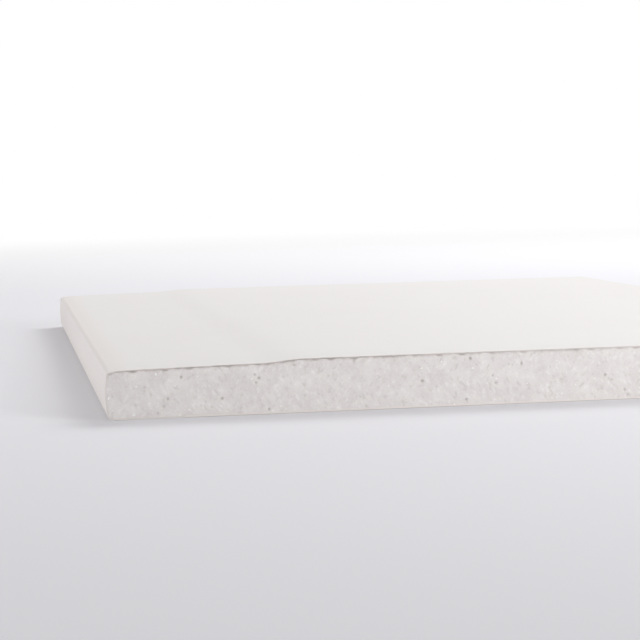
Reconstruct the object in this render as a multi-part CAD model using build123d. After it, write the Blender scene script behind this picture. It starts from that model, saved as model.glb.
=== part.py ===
from build123d import *
import os

# Driving sizes of the cut sheet, millimetres
WIDTH = 200.0            # from the bound edge to the cut side opposite
LENGTH = 300.0           # along the bound edge
THICKNESS = 12.5         # over both papers, away from the taper
PAPER = 0.35             # each lining paper

# Bound edge with its taper
TAPER_WIDTH = 46.0       # strip of the face that slopes down
TAPER_DEPTH = 1.6        # how far the face has dropped at the edge
EDGE_BULGE = 0.5         # how far the edge swells past its two corners
UPPER_ROUND = 0.6        # outside radius where the face turns down
LOWER_ROUND = 1.3        # outside radius where the edge turns under

# Back of the bound edge
BACK_MARGIN = 18.0       # strip along the edge that the back paper leaves free
PAPER_OVERLAP = 10.0     # how far the back paper laps over the folded face paper

# Sections are drawn in the XZ plane, x from the bound edge
LEFT = -WIDTH / 2
RIGHT = WIDTH / 2
BACK_START = LEFT + BACK_MARGIN
FOLD_END = BACK_START + PAPER_OVERLAP

# Fall of the face across the taper: share of the width, share of the depth
TAPER_FALL = [
    (1.0, 0.0),
    (0.96, 0.03),
    (0.91, 0.11),
    (0.84, 0.27),
    (0.74, 0.44),
    (0.62, 0.47),
    (0.50, 0.53),
    (0.38, 0.62),
    (0.26, 0.70),
    (0.14, 0.78),
    (0.0, 1.0),
]


def skin_line(inset):
    """Outside of the face paper from the cut side to the end of the fold, moved in."""
    face_z = THICKNESS - inset
    fall = [(LEFT + inset + EDGE_BULGE + (TAPER_WIDTH - EDGE_BULGE) * across, face_z - TAPER_DEPTH * down)
            for across, down in TAPER_FALL]
    field = Line((RIGHT, face_z), fall[0])
    taper = Spline(*fall)
    upper = fall[-1]
    foot = (upper[0], inset)
    belly = (LEFT + inset, (upper[1] + foot[1]) / 2)
    edge = ThreePointArc(upper, belly, foot)
    step_x = BACK_START - inset
    fold = Polyline(foot, (step_x, inset), (step_x, PAPER + inset), (FOLD_END, PAPER + inset))
    line = Wire([field.edge(), taper.edge(), edge.edge(), *fold.edges()])
    for corner, radius in ((upper, UPPER_ROUND), (foot, LOWER_ROUND)):
        nearest = line.vertices().sort_by_distance((corner[0], corner[1], 0))[0]
        line = line.fillet_2d(radius - inset, [nearest])
    return line


def sheet(*lines):
    """Close a section and draw it out along the bound edge."""
    section = Plane.XZ * make_face(Wire.combine([edge for line in lines for edge in line.edges()]))
    return extrude(section, LENGTH / 2, both=True)


# Face paper: covers the face, turns round the bound edge, lies flush with the back
# and steps up by one paper where the back paper laps over it
face_outside = skin_line(0)
face_inside = skin_line(PAPER)
paper_side = Line((RIGHT, THICKNESS), (RIGHT, THICKNESS - PAPER))
paper_end = Line((FOLD_END, PAPER), (FOLD_END, 2 * PAPER))
face_paper = sheet(face_outside, paper_side, face_inside, paper_end)

# Gypsum core: fills the face paper and is let in for the fold
core_under = Polyline(
    (FOLD_END, 2 * PAPER),
    (FOLD_END, PAPER),
    (RIGHT, PAPER),
    (RIGHT, THICKNESS - PAPER),
)
gypsum_core = sheet(face_inside, core_under)

# Back paper: covers the back and laps over the fold
back_outline = Polyline(
    (BACK_START, 0),
    (RIGHT, 0),
    (RIGHT, PAPER),
    (BACK_START, PAPER),
    close=True,
)
back_paper = sheet(back_outline)

os.makedirs("parts", exist_ok=True)
export_step(face_paper, "parts/face_paper.step")
export_step(gypsum_core, "parts/gypsum_core.step")
export_step(back_paper, "parts/back_paper.step")
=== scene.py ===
import math
import random

import bmesh
import bpy
from mathutils import Euler, Matrix, Vector, noise


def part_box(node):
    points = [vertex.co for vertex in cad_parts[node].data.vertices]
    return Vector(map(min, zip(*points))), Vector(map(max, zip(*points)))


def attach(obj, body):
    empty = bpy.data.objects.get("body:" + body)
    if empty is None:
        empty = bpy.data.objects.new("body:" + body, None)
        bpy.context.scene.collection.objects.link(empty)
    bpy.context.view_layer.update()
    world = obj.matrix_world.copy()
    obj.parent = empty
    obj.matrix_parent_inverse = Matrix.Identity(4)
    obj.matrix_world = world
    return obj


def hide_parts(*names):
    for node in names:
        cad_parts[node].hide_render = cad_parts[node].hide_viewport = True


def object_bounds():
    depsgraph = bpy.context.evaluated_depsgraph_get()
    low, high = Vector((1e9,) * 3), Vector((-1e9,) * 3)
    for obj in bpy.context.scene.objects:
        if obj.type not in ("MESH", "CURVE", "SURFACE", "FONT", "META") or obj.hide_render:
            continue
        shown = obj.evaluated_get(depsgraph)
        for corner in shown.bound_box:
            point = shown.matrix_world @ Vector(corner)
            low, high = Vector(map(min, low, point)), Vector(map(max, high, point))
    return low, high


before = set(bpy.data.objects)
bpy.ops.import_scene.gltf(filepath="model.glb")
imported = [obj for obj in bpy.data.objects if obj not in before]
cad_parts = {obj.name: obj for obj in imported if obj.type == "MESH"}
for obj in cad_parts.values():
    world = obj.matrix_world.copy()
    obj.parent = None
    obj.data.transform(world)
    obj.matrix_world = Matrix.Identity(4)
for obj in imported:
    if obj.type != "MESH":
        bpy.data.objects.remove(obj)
cad_low, cad_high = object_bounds()

# Camera
# A long lens just above the board, a little to the left of it and looking along the bound edge.
camera_place = (-0.12397, -0.60814, 0.0547)
camera_tilt, camera_turn, camera_roll = 85.861, -9.11, -1.341


def put_in_scene(name, data):
    """Add an object to the scene."""
    thing = bpy.data.objects.new(name, data)
    bpy.context.scene.collection.objects.link(thing)
    return thing


camera_lens = bpy.data.cameras.new("camera")
camera_lens.sensor_width = 36.0
camera_lens.lens = 114.26
camera_lens.clip_end = 100.0
camera = put_in_scene("camera", camera_lens)
aim = Euler((math.radians(camera_tilt), 0.0, math.radians(camera_turn))).to_matrix().to_4x4()
roll = Matrix.Rotation(math.radians(camera_roll), 4, "Z")
camera.matrix_world = Matrix.Translation(camera_place) @ aim @ roll
bpy.context.scene.camera = camera

# Gypsum core
# The set gypsum slab between the papers. It is poured as a foamed slurry, so its cut sides show
# air bubbles, and they were sawn and rasped, which leaves slanting scuffs and crumbled rims.
core_low, core_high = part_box("gypsum_core")
left, right = cad_low.x, cad_high.x
front, back = cad_low.y, cad_high.y
top = cad_high.z
paper = top - core_high.z
back_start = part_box("back_paper")[0].x
paper_lap = 0.010
fold_end = back_start + paper_lap
edge_bulge = 0.0005
upper_round = 0.0006
lower_round = 0.0013

# The face falls towards the bound edge in three ways: in a step where the taper starts, along the
# slope after it, and at its rim.
taper_width, step_width, step_fall = 0.0460, 0.0112, 0.00074
slope_width, slope_fall = 0.034, 0.00054
rim_width, rim_fall = 0.006, 0.00034


def ease(share):
    """A soft step from 0 to 1."""
    share = min(max(share, 0.0), 1.0)
    return share * share * (3.0 - 2.0 * share)


def face_z(x):
    """Height of the face."""
    across = x - left
    fall = step_fall * ease((taper_width - across) / step_width)
    fall += slope_fall * max(0.0, 1.0 - across / slope_width) ** 1.2
    fall += rim_fall * max(0.0, 1.0 - across / rim_width) ** 2
    return top - fall


def edge_x(z, inset):
    """The bound edge at a height: a slight belly between two rounded corners."""
    highest = face_z(left + edge_bulge) - inset
    lowest = inset
    middle = (highest + lowest) / 2
    x = left + inset + edge_bulge * ((z - middle) / (highest - middle)) ** 2
    for corner, depth in ((upper_round - inset, highest - z), (lower_round - inset, z - lowest)):
        if depth < corner:
            x += corner - math.sqrt(max(corner ** 2 - (corner - max(depth, 0.0)) ** 2, 0.0))
    return x


def core_floor(x):
    """Underside of the core, let in where the two papers lap."""
    return paper * (2 if back_start - paper < x < fold_end else 1)


def cut_along(mesh, axis, count, keep=lambda edge: True):
    """Divide every edge that runs along an axis."""
    runs = [edge for edge in mesh.edges
            if keep(edge) and abs((edge.verts[0].co - edge.verts[1].co).normalized()[axis]) > 0.99]
    bmesh.ops.subdivide_edges(mesh, edges=runs, cuts=count, use_grid_fill=True)


def lies_at(axis, limit):
    """A test for the points that lie on one flat side."""
    return lambda vert: abs(vert.co[axis] - limit) < 1e-6


on_side = lies_at(0, core_high.x)
across_cuts, height_cuts, length_cuts = 559, 32, 819
edge_reach = 0.003

core_size = core_high - core_low
core_mesh = bmesh.new()
bmesh.ops.create_cube(core_mesh, size=1.0)
bmesh.ops.scale(core_mesh, vec=core_size, verts=core_mesh.verts)
bmesh.ops.translate(core_mesh, vec=(core_high + core_low) / 2, verts=core_mesh.verts)
cut_along(core_mesh, 0, across_cuts)
cut_along(core_mesh, 2, height_cuts)
cut_along(core_mesh, 1, length_cuts, lambda edge: all(map(on_side, edge.verts)))
for vert in core_mesh.verts:
    share = (vert.co.z - core_low.z) / core_size.z
    ground = core_floor(vert.co.x)
    vert.co.z = ground + share * (face_z(vert.co.x) - paper - ground)
    pull = max(0.0, 1.0 - (vert.co.x - core_low.x) / edge_reach)
    vert.co.x += pull * (edge_x(vert.co.z, paper) - core_low.x)

# Larger bubbles opened by the front cut, in millimetres: place across, height, radius, depth.
front_bubbles = [
    (-96.4, 6.3, 0.30, 0.2), (-91.1, 7.1, 0.42, 0.6), (-91.1, 8.9, 0.28, 0.3),
    (-86.7, 10.3, 0.36, 0.5), (-85.9, 4.3, 0.44, 0.8), (-86.9, 2.6, 0.38, 0.7),
    (-88.3, 1.1, 0.34, 0.7), (-82.8, 9.2, 0.44, 1.0), (-81.4, 8.6, 0.24, 0.3),
    (-78.5, 2.6, 0.38, 0.5), (-76.0, 2.0, 0.34, 0.6), (-76.2, 4.1, 0.28, 0.3),
    (-73.5, 3.9, 0.42, 1.0), (-72.3, 1.2, 0.24, 0.4), (-69.0, 4.5, 0.55, 0.4),
    (-70.3, 6.1, 0.36, 0.2), (-65.9, 9.1, 0.34, 0.8), (-65.0, 8.3, 0.46, 1.0),
    (-65.7, 7.3, 0.34, 0.8), (-62.8, 1.0, 0.42, 1.0), (-58.8, 1.4, 0.44, 0.4),
    (-56.8, 11.0, 0.32, 0.7), (-59.4, 8.2, 0.44, 0.3), (-54.4, 3.8, 0.44, 0.6),
    (-54.6, 6.3, 0.38, 0.4), (-46.1, 10.7, 0.26, 0.6), (-42.9, 11.5, 0.40, 0.8),
    (-43.9, 3.6, 0.34, 0.3), (-40.3, 0.9, 0.36, 0.5), (-40.0, 3.6, 0.40, 0.3),
    (-37.2, 7.4, 0.48, 0.4), (-35.9, 2.7, 0.50, 0.4), (-33.0, 3.3, 0.40, 0.3),
    (-29.1, 8.9, 0.28, 0.5), (-26.9, 6.1, 0.48, 1.0), (-23.7, 4.6, 0.34, 0.4),
    (-29.2, 1.5, 0.26, 0.4), (-18.5, 6.5, 0.34, 0.4), (-17.9, 5.3, 0.56, 0.5),
    (-15.4, 10.9, 0.46, 1.0), (-16.8, 10.7, 0.26, 0.5), (-16.5, 1.4, 0.42, 1.0),
    (-14.0, 9.4, 0.26, 0.4), (-10.2, 6.7, 0.44, 0.7), (-9.5, 4.9, 0.42, 0.8),
    (-6.3, 9.2, 0.26, 0.6), (-6.3, 10.5, 0.24, 0.4), (-3.2, 9.3, 0.44, 1.0),
    (-5.6, 3.5, 0.90, 0.25), (-4.9, 2.9, 0.80, 0.25), (3.4, 3.3, 0.38, 0.5),
    (-7.3, 0.8, 0.28, 0.5), (16.9, 5.8, 0.44, 0.9), (18.4, 4.6, 0.32, 0.6),
    (21.6, 2.2, 0.40, 0.8), (22.4, 0.9, 0.44, 0.8), (15.1, 2.4, 0.42, 0.3),
    (17.5, 2.1, 0.50, 0.3), (24.4, 9.7, 0.50, 0.3), (14.3, 0.8, 0.34, 0.5),
]
bubbles = {"front": [tuple(size / 1000 for size in bubble) for bubble in front_bubbles]}

# The rest are scattered: on which cut, from where to where along it, and how many.
more_larger = (
    ("front", 0.026, 0.098, 42),
    ("back", -0.097, 0.098, 110),
    ("side", -0.148, 0.148, 170),
)
more_smaller = (
    ("front", -0.098, 0.098, 190),
    ("back", -0.097, 0.098, 190),
    ("side", -0.148, 0.148, 280),
)
bubble_dice = random.Random(14)
for cut, start, end, count in more_larger:
    for _ in range(count):
        radius = 0.00024 + 0.00026 * bubble_dice.random() ** 1.5
        place = (bubble_dice.uniform(start, end), bubble_dice.uniform(0.0011, 0.0113))
        size = (radius, radius * bubble_dice.uniform(0.8, 2.3))
        bubbles.setdefault(cut, []).append(place + size)
for cut, start, end, count in more_smaller:
    for _ in range(count):
        radius = bubble_dice.uniform(0.00014, 0.00024)
        place = (bubble_dice.uniform(start, end), bubble_dice.uniform(0.0010, 0.0115))
        size = (radius, radius * bubble_dice.uniform(0.8, 1.8))
        bubbles[cut].append(place + size)

# Each cut side: the axis along it, the way into the board, and which points lie on it.
cut_sides = {
    "front": (0, Vector((0, 1, 0)), lies_at(1, front)),
    "back": (0, Vector((0, -1, 0)), lies_at(1, back)),
    "side": (1, Vector((-1, 0, 0)), on_side),
}

# The mesh is made finer round the bubbles, which are sorted by the millimetre they lie on.
bubble_margin = 0.0003
near_bubbles = {}
for cut, (along, _, on_cut) in cut_sides.items():
    lots = near_bubbles[cut] = {}
    for bubble in bubbles[cut]:
        lot = round(bubble[0] * 1000)
        for near_lot in (lot - 1, lot, lot + 1):
            lots.setdefault(near_lot, []).append(bubble)
    close = set()
    for vert in filter(on_cut, core_mesh.verts):
        for place, height, radius, _ in lots.get(round(vert.co[along] * 1000), ()):
            if math.hypot(vert.co[along] - place, vert.co.z - height) < radius + bubble_margin:
                close.add(vert)
    fine = [edge for edge in core_mesh.edges if edge.verts[0] in close and edge.verts[1] in close]
    bmesh.ops.subdivide_edges(core_mesh, edges=fine, cuts=1, use_grid_fill=True)

# Relief of the cut sides, in millimetres, and the two ways in which the scuffs lean.
mean_depth, least_depth = 0.09, 0.01
wave_depth, mottle_depth, scuff_depth = 0.11, 0.06, 0.11
top_crumble, low_crumble = 0.26, 0.10
bubble_share = 0.4
scuff_leans = (0.55, -0.62)


def smooth_noise(*place):
    """Noise from about -1 to 1."""
    return noise.noise(Vector(place))


# Painted shade: this layer darkens the colour in the bubbles, by how deep they are sunk, and along
# the crumbled rim under the face paper, where shade falls.
hollow_shade = core_mesh.verts.layers.float.new("hollow_shade")
moves = []
for number, (cut, (along, inward, on_cut)) in enumerate(cut_sides.items()):
    for vert in filter(on_cut, core_mesh.verts):
        place, height = vert.co[along] * 1000, vert.co.z * 1000
        ceiling, ground = (face_z(vert.co.x) - paper) * 1000, core_floor(vert.co.x) * 1000
        depth = mean_depth + wave_depth * smooth_noise(place * 0.16, height * 0.2, number)
        depth += mottle_depth * smooth_noise(place * 1.5, height * 1.5, 5.0 + number)
        scuffed = 0.4 + 0.6 * ease(smooth_noise(place * 0.12, height * 0.25, 20.0 + number) + 0.5)
        steep = ease(1.5 * smooth_noise(place * 0.14, height * 0.14, 50.0 + number) + 0.5)
        for lean, share in zip(scuff_leans, (steep, 1.0 - steep)):
            over = place * math.cos(lean) + height * math.sin(lean)
            up = height * math.cos(lean) - place * math.sin(lean)
            ridge = smooth_noise(over * 1.25, up * 0.55, 30.0 + number)
            depth += scuff_depth * share * scuffed * ridge
        crumbled = max(0.0, smooth_noise(place * 0.55, 2.0, 9.0 + number) + 0.45)
        depth += top_crumble * crumbled * max(0.0, 1.0 - (ceiling - height) / 0.5)
        depth += low_crumble * crumbled * max(0.0, 1.0 - (height - ground) / 0.4)
        sunk = 0.0
        for middle, level, radius, deep in near_bubbles[cut].get(round(place), ()):
            reach = math.hypot(place / 1000 - middle, vert.co.z - level)
            radius *= 1.0 + 0.25 * smooth_noise(place * 1.9, height * 1.9, 60.0)
            if reach < radius:
                bowl = (1.0 - (reach / radius) ** 2) ** 0.8
                sunk = max(sunk, bubble_share * deep * 1000 * bowl)
        # Painted shade along the crumbled rim just under the face paper.
        rim_shade = 1.6 * crumbled * max(0.0, 1.0 - (ceiling - height) / 0.6)
        vert[hollow_shade] = max(min(sunk / 0.5, 1.0), rim_shade)
        moves.append((vert, inward * (max(depth, least_depth) + sunk) / 1000))
for vert, move in moves:
    vert.co += move
bmesh.ops.recalc_face_normals(core_mesh, faces=core_mesh.faces)


def make_piece(name, mesh):
    """Make a mesh into an object of the scene."""
    shape = bpy.data.meshes.new(name)
    mesh.to_mesh(shape)
    mesh.free()
    return put_in_scene(name, shape)


def smooth_up_to(piece, angle):
    """Shade a piece smooth, with the edges sharp past an angle in degrees."""
    piece.data.shade_smooth()
    piece.data.set_sharp_from_angle(angle=math.radians(angle))


cut_gypsum = make_piece("cut_gypsum", core_mesh)
smooth_up_to(cut_gypsum, 60)


def new_material(name, roughness, specular):
    """A plain shader, with its constants on its own sockets."""
    material = bpy.data.materials.new(name)
    material.use_nodes = True
    tree = material.node_tree
    shader = tree.nodes["Principled BSDF"]
    shader.inputs["Roughness"].default_value = roughness
    shader.inputs["Specular IOR Level"].default_value = specular
    return material, tree, shader


def feed(tree, socket, value):
    """Set a socket, or link it where the value is a socket."""
    if isinstance(value, bpy.types.NodeSocket):
        tree.links.new(value, socket)
    else:
        socket.default_value = value


def add_node(tree, kind, settings=None, **inputs):
    """A node with its settings made and its inputs fed."""
    node = tree.nodes.new("ShaderNode" + kind)
    for name, value in (settings or {}).items():
        setattr(node, name, value)
    for name, value in inputs.items():
        feed(tree, node.inputs[name.replace("_", " ")], value)
    return node


def in_millimetres(tree, turn=0.0, stretch=(1, 1, 1)):
    """The piece's own coordinates in millimetres, turned about the length and then stretched."""
    place = add_node(tree, "TexCoord").outputs["Object"]
    turned = add_node(tree, "VectorRotate", {"rotation_type": "EULER_XYZ"},
                      Vector=place, Rotation=(0, turn, 0))
    scale = tuple(1000 * share for share in stretch)
    return add_node(tree, "Mapping", Vector=turned.outputs[0], Scale=scale).outputs[0]


def noise_value(tree, vector, scale, detail=2.0, rough=0.5):
    """Noise from 0 to 1."""
    node = add_node(tree, "TexNoise", Vector=vector, Scale=scale, Detail=detail, Roughness=rough)
    return node.outputs["Fac"]


def remap(tree, value, low, high, to_low=0.0, to_high=1.0):
    """A soft step from one level to another while the value goes from low to high."""
    node = add_node(tree, "MapRange", {"interpolation_type": "SMOOTHSTEP"}, Value=value,
                    From_Min=low, From_Max=high, To_Min=to_low, To_Max=to_high)
    return node.outputs["Result"]


def combine(tree, operation, first, second):
    """Two values put together by one operation."""
    node = add_node(tree, "Math", {"operation": operation})
    for socket, value in zip(node.inputs, (first, second)):
        feed(tree, socket, value)
    return node.outputs[0]


def blend_colours(tree, share, first, second):
    """The first colour where the share is 0, and the second where it is 1."""
    node = add_node(tree, "Mix", {"data_type": "RGBA"})
    for index, value in ((0, share), (6, first), (7, second)):
        feed(tree, node.inputs[index], value)
    return node.outputs[2]


def dress(tree, shader, colour, relief, strength, distance):
    """Give a shader its colour and a fine bump."""
    bump = add_node(tree, "Bump", Height=relief, Strength=strength, Distance=distance)
    tree.links.new(colour, shader.inputs["Base Color"])
    tree.links.new(bump.outputs["Normal"], shader.inputs["Normal"])


gypsum_shade, gypsum_light = (0.755, 0.715, 0.695, 1), (0.825, 0.795, 0.77, 1)
grain_light = (0.88, 0.865, 0.85, 1)
scuff_light, scuff_dark = (0.92, 0.905, 0.89, 1), (0.64, 0.605, 0.58, 1)
speck_white = (0.95, 0.94, 0.92, 1)
# Painted shade for the bubbles and the rim under the face paper.
painted_hollow_shade = (0.38, 0.34, 0.31, 1)

gypsum, tree, shader = new_material("gypsum", 0.95, 0.15)
plain = in_millimetres(tree)
cloud = noise_value(tree, plain, 0.22, 3.0)
grain = noise_value(tree, plain, 2.2, 3.0, 0.6)
colour = blend_colours(tree, remap(tree, cloud, 0.3, 0.7), gypsum_shade, gypsum_light)
colour = blend_colours(tree, remap(tree, grain, 0.3, 0.75, 0.0, 0.3), colour, grain_light)
steep = remap(tree, noise_value(tree, plain, 0.14), 0.42, 0.58)
for lean, share in zip(scuff_leans, (steep, combine(tree, "SUBTRACT", 1.0, steep))):
    scuffs = noise_value(tree, in_millimetres(tree, lean, (1.3, 1, 0.65)), 0.95, 3.0, 0.6)
    bright = combine(tree, "MULTIPLY", share, remap(tree, scuffs, 0.55, 0.68, 0.0, 0.55))
    dark = combine(tree, "MULTIPLY", share, remap(tree, scuffs, 0.44, 0.32, 0.0, 0.55))
    colour = blend_colours(tree, bright, colour, scuff_light)
    colour = blend_colours(tree, dark, colour, scuff_dark)
specks = add_node(tree, "TexVoronoi", {"feature": "F1"}, Vector=plain, Scale=0.6)
speck_size = remap(tree, noise_value(tree, plain, 0.9), 0.46, 0.7, 0.0, 0.2)
speck_share = combine(tree, "LESS_THAN", specks.outputs["Distance"], speck_size)
colour = blend_colours(tree, speck_share, colour, speck_white)
# Painted shade: the bubbles and the rim under the face paper are darkened in the colour.
hollow_shading = add_node(tree, "Attribute", {"attribute_name": "hollow_shade"}).outputs["Fac"]
colour = blend_colours(tree, remap(tree, hollow_shading, 0.0, 1.3, 0.0, 0.7), colour, painted_hollow_shade)
dress(tree, shader, colour, grain, 0.4, 0.00012)
cut_gypsum.data.materials.append(gypsum)
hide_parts("gypsum_core")
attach(cut_gypsum, "root")

# Face paper
# Ivory lining paper of several plies, rolled on while the slurry was wet. It covers the face,
# turns round the bound edge and laps under the core. Only its outer ply is ivory, so the rest
# shows where it is cut.
face_steps, edge_steps, fold_steps, length_steps = 440, 36, 36, 48
fray_reach, fray_depth = 0.0012, 0.00009
ripple_from, ripple_depth = 0.009, 0.00002

face_start = left + edge_bulge + upper_round
fold_start = left + edge_bulge + lower_round
edge_top = face_z(left + edge_bulge)
paper_line = []
for step in range(face_steps + 1):
    x = right + (face_start - right) * step / face_steps
    paper_line.append((x, face_z(x)))
for step in range(1, edge_steps):
    z = edge_top / 2 * (1.0 + math.cos(math.pi * step / edge_steps))
    paper_line.append((edge_x(z, 0.0), z))
for lap_start, lap_end, z in ((fold_start, back_start, 0.0), (back_start, fold_end, paper)):
    for step in range(fold_steps + 1):
        paper_line.append((lap_start + (lap_end - lap_start) * step / fold_steps, z))


def wrap_paper(name, line, outward):
    """Lay a flat sheet along a section line, give it its thickness and roughen its cut ends."""
    mesh = bmesh.new()
    bmesh.ops.create_grid(mesh, x_segments=len(line) - 1, y_segments=length_steps, size=0.5)
    ply = mesh.verts.layers.float.new("ply")
    for vert in mesh.verts:
        step = round((vert.co.x + 0.5) * (len(line) - 1))
        swing = math.sin(math.pi * round(vert.co.y * length_steps) / length_steps)
        vert.co = Vector((line[step][0], back * swing, line[step][1]))
    mesh.normal_update()
    if sum(face.calc_area() * face.normal.z for face in mesh.faces) * outward < 0:
        bmesh.ops.reverse_faces(mesh, faces=mesh.faces)
        mesh.normal_update()
    normals = {tuple(vert.co): vert.normal * vert.calc_shell_factor() for vert in mesh.verts}
    grown = bmesh.ops.extrude_face_region(mesh, geom=mesh.faces[:], use_keep_orig=True)
    for vert in grown["geom"]:
        if isinstance(vert, bmesh.types.BMVert):
            vert[ply] = 1.0
            vert.co -= normals[tuple(vert.co)] * paper
    for vert in mesh.verts:
        place, layer = vert.co.x * 1000 + vert.co.z * 700, vert[ply]
        frayed = 0.5 + smooth_noise(place * 0.45, 3.0, layer * 0.3)
        frayed += 0.5 * smooth_noise(place * 1.7, 7.0, layer)
        end = max(0.0, 1.0 - (back - abs(vert.co.y)) / fray_reach)
        vert.co.y -= math.copysign(fray_depth * max(0.0, frayed) * end, vert.co.y)
    bmesh.ops.recalc_face_normals(mesh, faces=mesh.faces)
    piece = make_piece(name, mesh)
    smooth_up_to(piece, 50)
    return piece


ivory_paper = wrap_paper("ivory_paper", paper_line, 1)
for vert in ivory_paper.data.vertices:
    if vert.co.z > ripple_from:
        ripple = smooth_noise(vert.co.x * 50, vert.co.y * 20, 2.0)
        vert.co.z -= ripple_depth * (1.0 + ripple)

ivory_shade, ivory_light = (0.803, 0.78, 0.761, 1), (0.809, 0.788, 0.769, 1)
ivory_fleck = (0.785, 0.765, 0.74, 1)
edge_ivory = (0.79, 0.745, 0.72, 1)
ply_dark, ply_brown = (0.46, 0.41, 0.39, 1), (0.66, 0.58, 0.56, 1)
# Of the next two tones, the first is painted light: a paler colour for the cut plies on the right.
ply_painted_light, ply_pale = (0.74, 0.69, 0.66, 1), (0.77, 0.725, 0.69, 1)

paper_ivory, tree, shader = new_material("paper_ivory", 0.65, 0.25)
plain = in_millimetres(tree)
cloud = noise_value(tree, plain, 0.05, 2.0)
fleck = noise_value(tree, in_millimetres(tree, 0.0, (1, 0.3, 1)), 1.2, 4.0, 0.65)
colour = blend_colours(tree, remap(tree, cloud, 0.3, 0.7), ivory_shade, ivory_light)
colour = blend_colours(tree, remap(tree, fleck, 0.35, 0.7, 0.0, 0.1), colour, ivory_fleck)
apart = add_node(tree, "SeparateXYZ", Vector=plain).outputs
edge_share = remap(tree, apart["X"], -92.0, -98.5, 0.0, 0.8)
colour = blend_colours(tree, edge_share, colour, edge_ivory)
breaks = remap(tree, noise_value(tree, plain, 0.35, 3.0), 0.38, 0.62)
cut_tone = blend_colours(tree, breaks, ply_dark, ply_brown)
# Painted light: the cut plies turn paler towards the right, where the lamps light the board more
# strongly.
painted_light_share = remap(tree, apart["X"], -50.0, 10.0, 0.0, 0.6)
cut_tone = blend_colours(tree, painted_light_share, cut_tone, ply_painted_light)
pale_share = remap(tree, apart["X"], -97.0, -98.5)
pale_share = combine(tree, "MAXIMUM", pale_share, remap(tree, apart["Z"], 8.0, 4.0))
cut_tone = blend_colours(tree, pale_share, cut_tone, ply_pale)
plies = add_node(tree, "Attribute", {"attribute_name": "ply"}).outputs["Fac"]
colour = blend_colours(tree, remap(tree, plies, 0.2, 0.32), colour, cut_tone)
dress(tree, shader, colour, fleck, 0.1, 0.00004)
ivory_paper.data.materials.append(paper_ivory)
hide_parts("face_paper")
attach(ivory_paper, "root")

# Back paper
# Plainer lining paper over the back. It is glued over the end of the folded face paper and stops
# short of the bound edge, so the two papers meet in a straight seam.
back_steps = 400
back_line = []
for step in range(back_steps + 1):
    back_line.append((back_start + (right - back_start) * step / back_steps, 0.0))
grey_paper = wrap_paper("grey_paper", back_line, -1)

grey_shade, grey_light = (0.50, 0.45, 0.40, 1), (0.56, 0.51, 0.46, 1)
grey_fleck = (0.42, 0.37, 0.32, 1)
cut_pale = (0.84, 0.79, 0.76, 1)

paper_grey, tree, shader = new_material("paper_grey", 0.8, 0.2)
plain = in_millimetres(tree)
cloud = noise_value(tree, plain, 0.05, 3.0)
fleck = noise_value(tree, in_millimetres(tree, 0.0, (1, 0.3, 1)), 1.2, 4.0, 0.65)
colour = blend_colours(tree, remap(tree, cloud, 0.35, 0.65), grey_shade, grey_light)
colour = blend_colours(tree, remap(tree, fleck, 0.35, 0.7, 0.0, 0.4), colour, grey_fleck)
plies = add_node(tree, "Attribute", {"attribute_name": "ply"}).outputs["Fac"]
colour = blend_colours(tree, remap(tree, plies, 0.05, 0.2), colour, cut_pale)
dress(tree, shader, colour, fleck, 0.2, 0.00006)
grey_paper.data.materials.append(paper_grey)
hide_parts("back_paper")
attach(grey_paper, "root")

# Floor
# A plain pale table top that fades to white in the distance.
floor_reach, floor_gap = 12.0, 0.00005
fade_start, fade_end = 0.32, 1.3

floor_mesh = bmesh.new()
bmesh.ops.create_grid(floor_mesh, x_segments=1, y_segments=1, size=floor_reach)
bmesh.ops.translate(floor_mesh, vec=(0, 0, -floor_gap), verts=floor_mesh.verts)
floor = make_piece("floor", floor_mesh)
floor_white, tree, shader = new_material("floor_white", 0.8, 0.1)
shader.inputs["Base Color"].default_value = (0.85, 0.84, 0.865, 1)
place = add_node(tree, "TexCoord").outputs["Object"]
distance = add_node(tree, "VectorMath", {"operation": "LENGTH"})
tree.links.new(place, distance.inputs[0])
far = remap(tree, distance.outputs["Value"], fade_start, fade_end)
white = add_node(tree, "Emission", Color=(1, 1, 1, 1), Strength=1.0)


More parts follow.
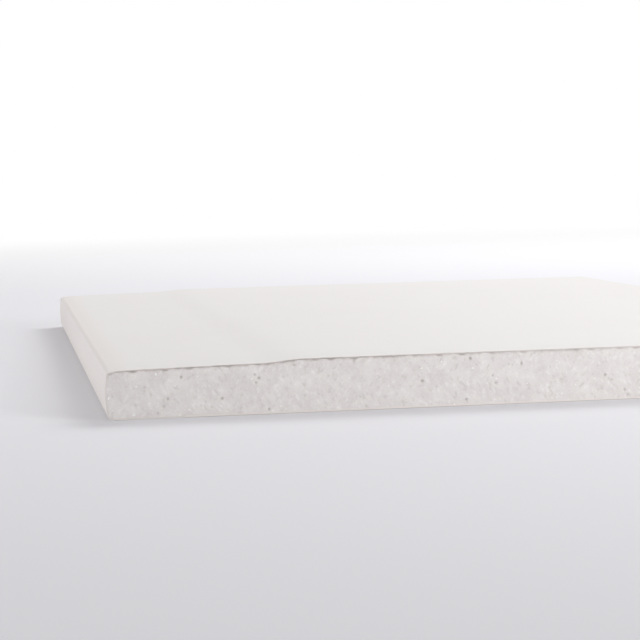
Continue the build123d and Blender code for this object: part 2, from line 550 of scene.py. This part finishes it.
def seen_rays(tree):
    """1 for what the camera sees, straight, mirrored or through glass."""
    rays = add_node(tree, "LightPath").outputs
    mirrored = combine(tree, "MAXIMUM", rays["Is Glossy Ray"], rays["Is Transmission Ray"])
    return combine(tree, "MAXIMUM", rays["Is Camera Ray"], mirrored)


def mix_shaders(tree, share, first, second, end):
    """The first shader where the share is 0 and the second where it is 1, led to the end."""
    mixed = add_node(tree, "MixShader", Fac=share)
    tree.links.new(first.outputs[0], mixed.inputs[1])
    tree.links.new(second.outputs[0], mixed.inputs[2])
    tree.links.new(mixed.outputs[0], tree.nodes[end].inputs["Surface"])


faded = combine(tree, "MULTIPLY", far, seen_rays(tree))
mix_shaders(tree, faded, shader, white, "Material Output")
floor.data.materials.append(floor_white)

# Light
# A pale room and three soft boxes: a large one high behind on the right, and two low fills whose
# grids keep their light off the floor beneath them.
bpy.context.scene.view_settings.view_transform = "Standard"
world = bpy.data.worlds.new("studio")
bpy.context.scene.world = world
world.use_nodes = True
tree = world.node_tree
room = tree.nodes["Background"]
room.inputs["Color"].default_value = (0.98, 0.98, 1.0, 1)
room.inputs["Strength"].default_value = 0.36
backdrop = add_node(tree, "Background", Color=(1, 1, 1, 1), Strength=1.0)
mix_shaders(tree, seen_rays(tree), room, backdrop, "World Output")


def soft_box(name, place, target, size, power, spread=180):
    """A lamp as large as its size in metres, turned to its target, with its spread in degrees."""
    lamp = bpy.data.lights.new(name, "AREA")
    lamp.shape = "RECTANGLE"
    lamp.size, lamp.size_y = size
    lamp.energy = power
    lamp.spread = math.radians(spread)
    facing = (Vector(place) - Vector(target)).to_track_quat("Z", "Y").to_matrix().to_4x4()
    put_in_scene(name, lamp).matrix_world = Matrix.Translation(place) @ facing


soft_box("back_light", (0.58, 0.74, 0.80), (0.0, 0.0, 0.0), (1.0, 0.6), 9.2)
soft_box("front_light", (0.46, -0.62, 0.22), (0.20, -0.15, 0.0), (0.34, 0.22), 0.70, 85)
soft_box("edge_light", (-1.1, -0.25, 0.34), (-0.1, 0.0, 0.0), (0.7, 0.45), 1.6, 100)
